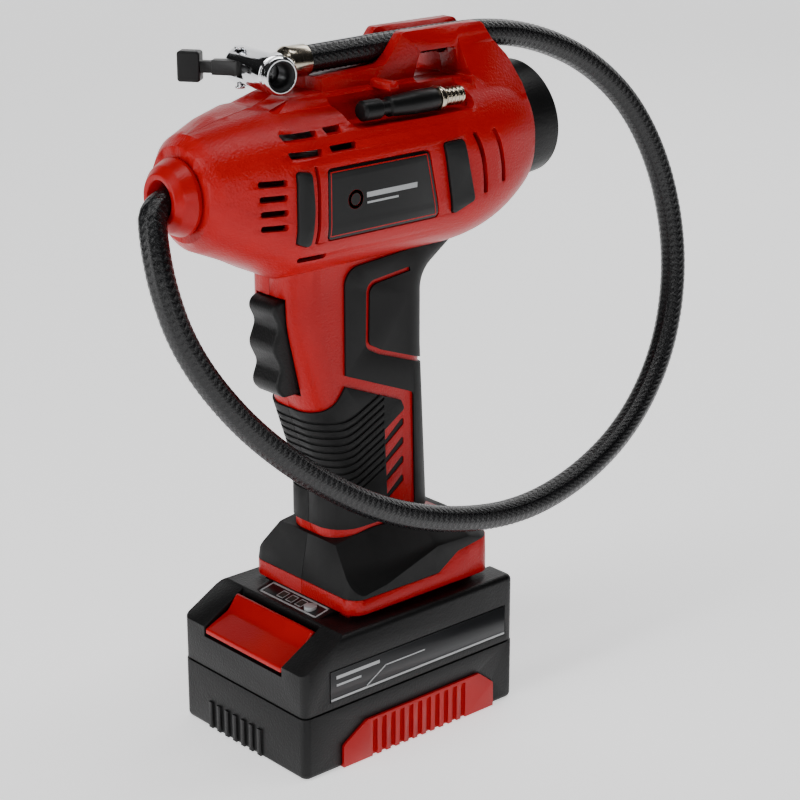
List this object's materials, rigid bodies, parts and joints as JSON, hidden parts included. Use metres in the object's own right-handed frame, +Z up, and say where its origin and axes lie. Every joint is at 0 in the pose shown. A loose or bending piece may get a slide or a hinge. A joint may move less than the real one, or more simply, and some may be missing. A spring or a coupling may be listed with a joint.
{
  "type": "cordless air inflator",
  "caption": "Pistol-shaped battery air inflator with a motor barrel, soft grip, slide-on pack and a looped braided hose ending in a lever chuck clipped on top.",
  "frame": {"origin": "middle of the flat underside of the battery pack, which the tool stands on", "axes": "+Z up, -X towards the nose where the hose leaves, +Y towards the tool's right-hand side"},
  "size_m": [0.2825, 0.0856, 0.2868],
  "materials": {
    "red_shell": "fine grained moulded plastic, deep red",
    "red_trim": "smooth moulded plastic, deep red",
    "soft_grip": "soft moulded elastomer, near black",
    "pad_rubber": "smooth black elastomer",
    "label_film": "glossy black film with a thin red line",
    "black_plastic": "grained black plastic",
    "lever_plastic": "smooth black plastic",
    "screw_steel": "blackened steel",
    "steel": "plain steel",
    "motor_steel": "drawn zinc plated steel",
    "magnet_ferrite": "dark sintered ferrite",
    "lens_clear": "clear window",
    "screen_dark": "unlit liquid crystal display",
    "circuit_board": "solder mask green",
    "nylon_white": "natural nylon",
    "cast_aluminium": "die cast aluminium",
    "brass": "turned brass",
    "nickel_brass": "nickel plate, slightly warm",
    "chrome": "bright chrome",
    "hose_braid": "black nylon braid over rubber",
    "seal_rubber": "black sealing rubber",
    "silicone": "translucent silicone tube",
    "cell_wrap": "shrink wrap",
    "panel_grey": "grey window film with three dark lamps",
    "button_grey": "light grey plastic",
    "label_silver": "silver grey printed film",
    "wire_jacket": "soft insulation"
  },
  "bodies": {
    "housing": {"left_housing": "red_shell", "right_housing": "red_shell", "nose_collar": "red_trim", "left_overmold": "soft_grip", "right_overmold": "soft_grip", "side_pads": "pad_rubber", "side_labels": "label_film", "housing_screws": "screw_steel", "gauge_housing": "black_plastic", "display_lens": "lens_clear", "display_screen": "screen_dark", "display_board": "circuit_board", "trigger_switch": "black_plastic", "trigger_spring": "steel", "motor_can": "motor_steel", "motor_magnets": "magnet_ferrite", "motor_endbell": "black_plastic", "crank_bearing": "brass", "pump_frame": "cast_aluminium", "cylinder": "cast_aluminium", "cylinder_head": "cast_aluminium", "head_screws": "steel", "delivery_tube": "silicone", "hose_fitting": "brass", "hose": "hose_braid", "hose_ferrule": "nickel_brass", "chuck_body": "chrome", "chuck_seal": "seal_rubber", "lever_pin": "chrome", "adapter_nozzle": "lever_plastic", "adapter_end": "nickel_brass", "terminal_block": "black_plastic", "power_leads": "wire_jacket"},
    "trigger_body": {"trigger": "black_plastic"},
    "rotor": {"motor_shaft": "steel", "armature": "steel", "drive_pinion": "steel", "cooling_fan": "black_plastic"},
    "crank": {"crank_gear": "nylon_white"},
    "piston": {"piston_rod": "cast_aluminium", "piston_seal": "seal_rubber"},
    "valve_lever": {"chuck_lever": "lever_plastic"},
    "minus_key": {"minus_button": "pad_rubber"},
    "mode_key": {"mode_button": "pad_rubber"},
    "plus_key": {"plus_button": "pad_rubber"},
    "battery_pack": {"pack_lower_shell": "black_plastic", "pack_upper_shell": "black_plastic", "cells": "cell_wrap", "cell_tabs": "steel", "pack_board": "circuit_board", "charge_panel": "panel_grey", "pack_labels": "label_silver", "pack_screws": "screw_steel", "left_pack_grip": "red_trim", "right_pack_grip": "red_trim", "latch_spring": "steel"},
    "release_latch": {"pack_latch": "red_trim"},
    "charge_key": {"charge_button": "button_grey"}
  },
  "joints": [
    {"name": "trigger_slide", "type": "slide", "parent": "housing", "child": "trigger_body", "axis": [1, 0, 0], "range_m": [0, 0.0055], "stiffness_N_per_m": 1200, "springref_m": -0.003, "deforming": ["trigger_spring"]},
    {"name": "motor_spin", "type": "hinge", "parent": "housing", "child": "rotor", "pos_m": [0.03, 0, 0.236], "axis": [1, 0, 0], "continuous": true},
    {"name": "crank_spin", "type": "hinge", "parent": "housing", "child": "crank", "pos_m": [-0.002, 0, 0.216], "axis": [1, 0, 0], "continuous": true},
    {"name": "piston_slide", "type": "slide", "parent": "housing", "child": "piston", "axis": [0, 0, 1], "range_m": [0, 0.011]},
    {"name": "lever_flip", "type": "hinge", "parent": "housing", "child": "valve_lever", "pos_m": [-0.0409, 0.01374, 0.2773], "axis": [0, 0, 1], "range_deg": [0, 75]},
    {"name": "minus_press", "type": "slide", "parent": "housing", "child": "minus_key", "axis": [-0.9925, 0, -0.1219], "range_m": [0, 0.0007], "stiffness_N_per_m": 800},
    {"name": "mode_press", "type": "slide", "parent": "housing", "child": "mode_key", "axis": [-0.9925, 0, -0.1219], "range_m": [0, 0.0007], "stiffness_N_per_m": 800},
    {"name": "plus_press", "type": "slide", "parent": "housing", "child": "plus_key", "axis": [-0.9925, 0, -0.1219], "range_m": [0, 0.0007], "stiffness_N_per_m": 800},
    {"name": "pack_slide", "type": "slide", "parent": "housing", "child": "battery_pack", "axis": [-1, 0, 0], "range_m": [0, 0.075]},
    {"name": "latch_press", "type": "slide", "parent": "battery_pack", "child": "release_latch", "axis": [0.5, 0, -0.866], "range_m": [0, 0.0015], "stiffness_N_per_m": 1500, "springref_m": -0.002, "deforming": ["latch_spring"]},
    {"name": "charge_press", "type": "slide", "parent": "battery_pack", "child": "charge_key", "axis": [0, 0, -1], "range_m": [0, 0.0006], "stiffness_N_per_m": 800}
  ],
  "couplings": [
    {"joint": "crank_spin", "follows": "motor_spin", "ratio": -0.25}
  ]
}
